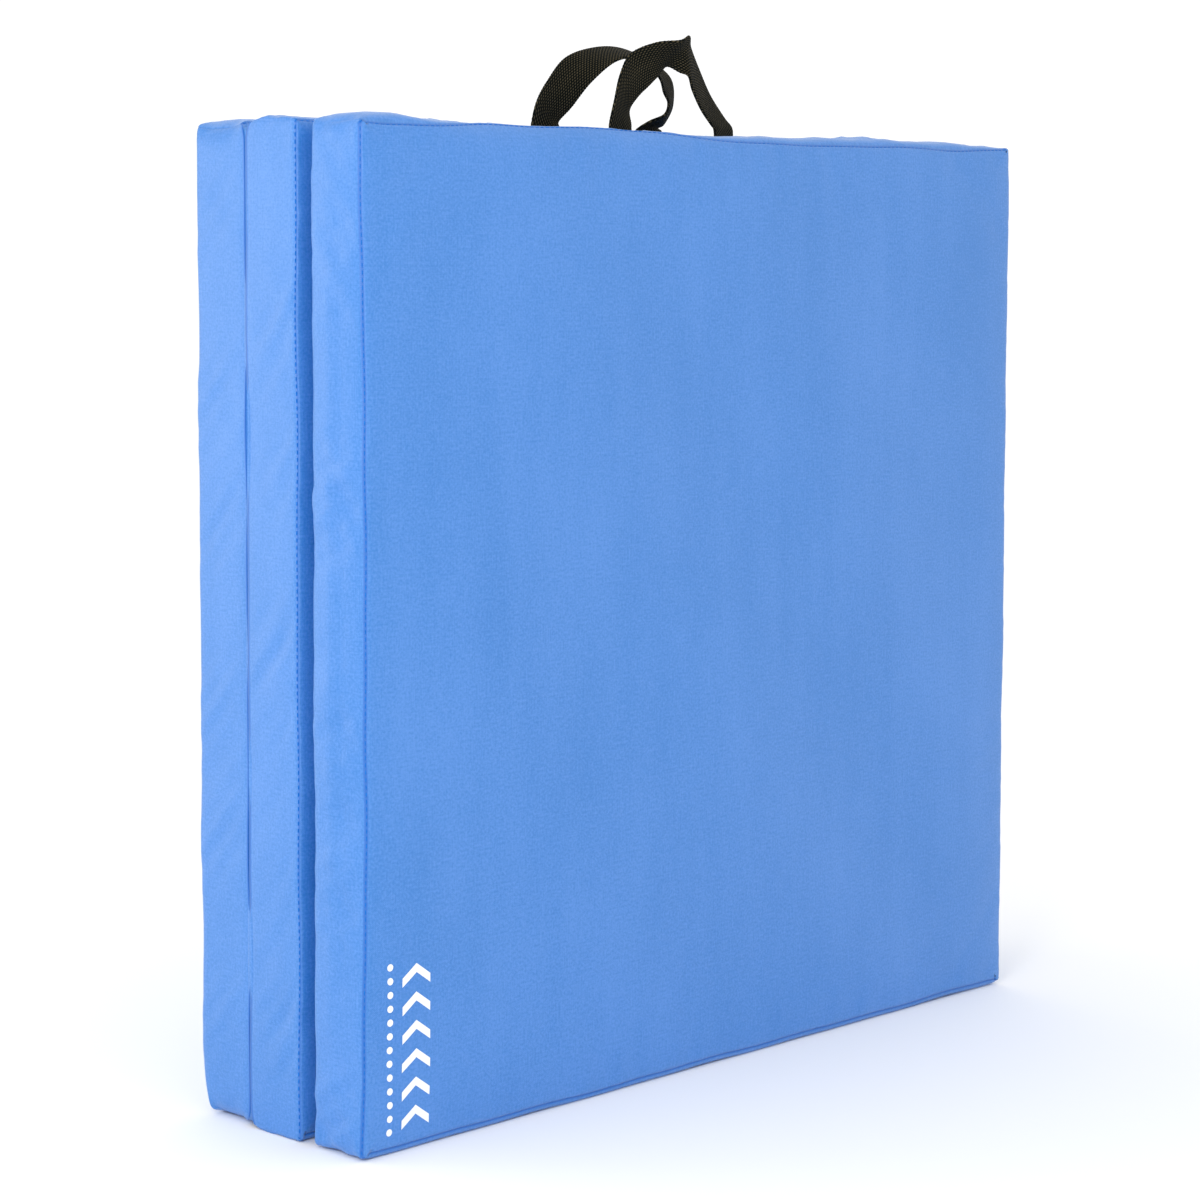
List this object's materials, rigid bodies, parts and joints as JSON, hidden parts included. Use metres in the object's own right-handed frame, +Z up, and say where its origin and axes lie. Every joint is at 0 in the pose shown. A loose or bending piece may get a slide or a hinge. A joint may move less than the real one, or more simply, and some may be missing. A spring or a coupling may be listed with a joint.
{
  "type": "folding gym mat",
  "caption": "Tri-fold foam gym mat in a blue coated-fabric cover, folded upright, with black webbing carry handles.",
  "frame": {"origin": "middle of the folded mat on the floor, under the middle panel", "axes": "+X to the right across the front face, +Y from the front face to the back, +Z up"},
  "size_m": [0.6014, 0.156, 0.6533],
  "materials": {
    "blue_cover": "smooth PU-coated polyester, satin, with a fine weave under the coating",
    "white_foam": "closed-cell polyethylene foam, matt",
    "seam_thread": "twisted polyester sewing thread",
    "black_webbing": "woven polypropylene webbing, matt"
  },
  "bodies": {
    "middle_panel": {"middle_front_face": "blue_cover", "middle_rear_face": "blue_cover", "middle_top_gusset": "blue_cover", "middle_bottom_gusset": "blue_cover", "middle_left_gusset": "blue_cover", "middle_right_gusset": "blue_cover", "middle_foam_core": "white_foam", "left_fold_seam": "seam_thread", "right_fold_seam": "seam_thread"},
    "front_panel": {"front_front_face": "blue_cover", "front_rear_face": "blue_cover", "front_top_gusset": "blue_cover", "front_bottom_gusset": "blue_cover", "front_left_gusset": "blue_cover", "front_right_gusset": "blue_cover", "front_foam_core": "white_foam", "front_handle_left_end": "black_webbing", "front_handle_right_end": "black_webbing"},
    "rear_panel": {"rear_front_face": "blue_cover", "rear_rear_face": "blue_cover", "rear_top_gusset": "blue_cover", "rear_bottom_gusset": "blue_cover", "rear_left_gusset": "blue_cover", "rear_right_gusset": "blue_cover", "rear_foam_core": "white_foam", "rear_handle_left_end": "black_webbing", "rear_handle_right_end": "black_webbing"},
    "front_handle": {"front_handle_loop": "black_webbing"},
    "rear_handle": {"rear_handle_loop": "black_webbing"}
  },
  "joints": [
    {"name": "front_fold", "type": "hinge", "parent": "middle_panel", "child": "front_panel", "pos_m": [0.3, -0.02625, 0], "axis": [0, 0, 1], "range_deg": [0, 180]},
    {"name": "rear_fold", "type": "hinge", "parent": "middle_panel", "child": "rear_panel", "pos_m": [-0.3, 0.02625, 0], "axis": [0, 0, 1], "range_deg": [0, 180]},
    {"name": "front_handle_swing", "type": "hinge", "parent": "front_panel", "child": "front_handle", "pos_m": [0, -0.0333, 0.595], "axis": [1, 0, 0], "range_deg": [-15, 60]},
    {"name": "rear_handle_swing", "type": "hinge", "parent": "rear_panel", "child": "rear_handle", "pos_m": [0, 0.0333, 0.595], "axis": [-1, 0, 0], "range_deg": [-15, 60]}
  ]
}
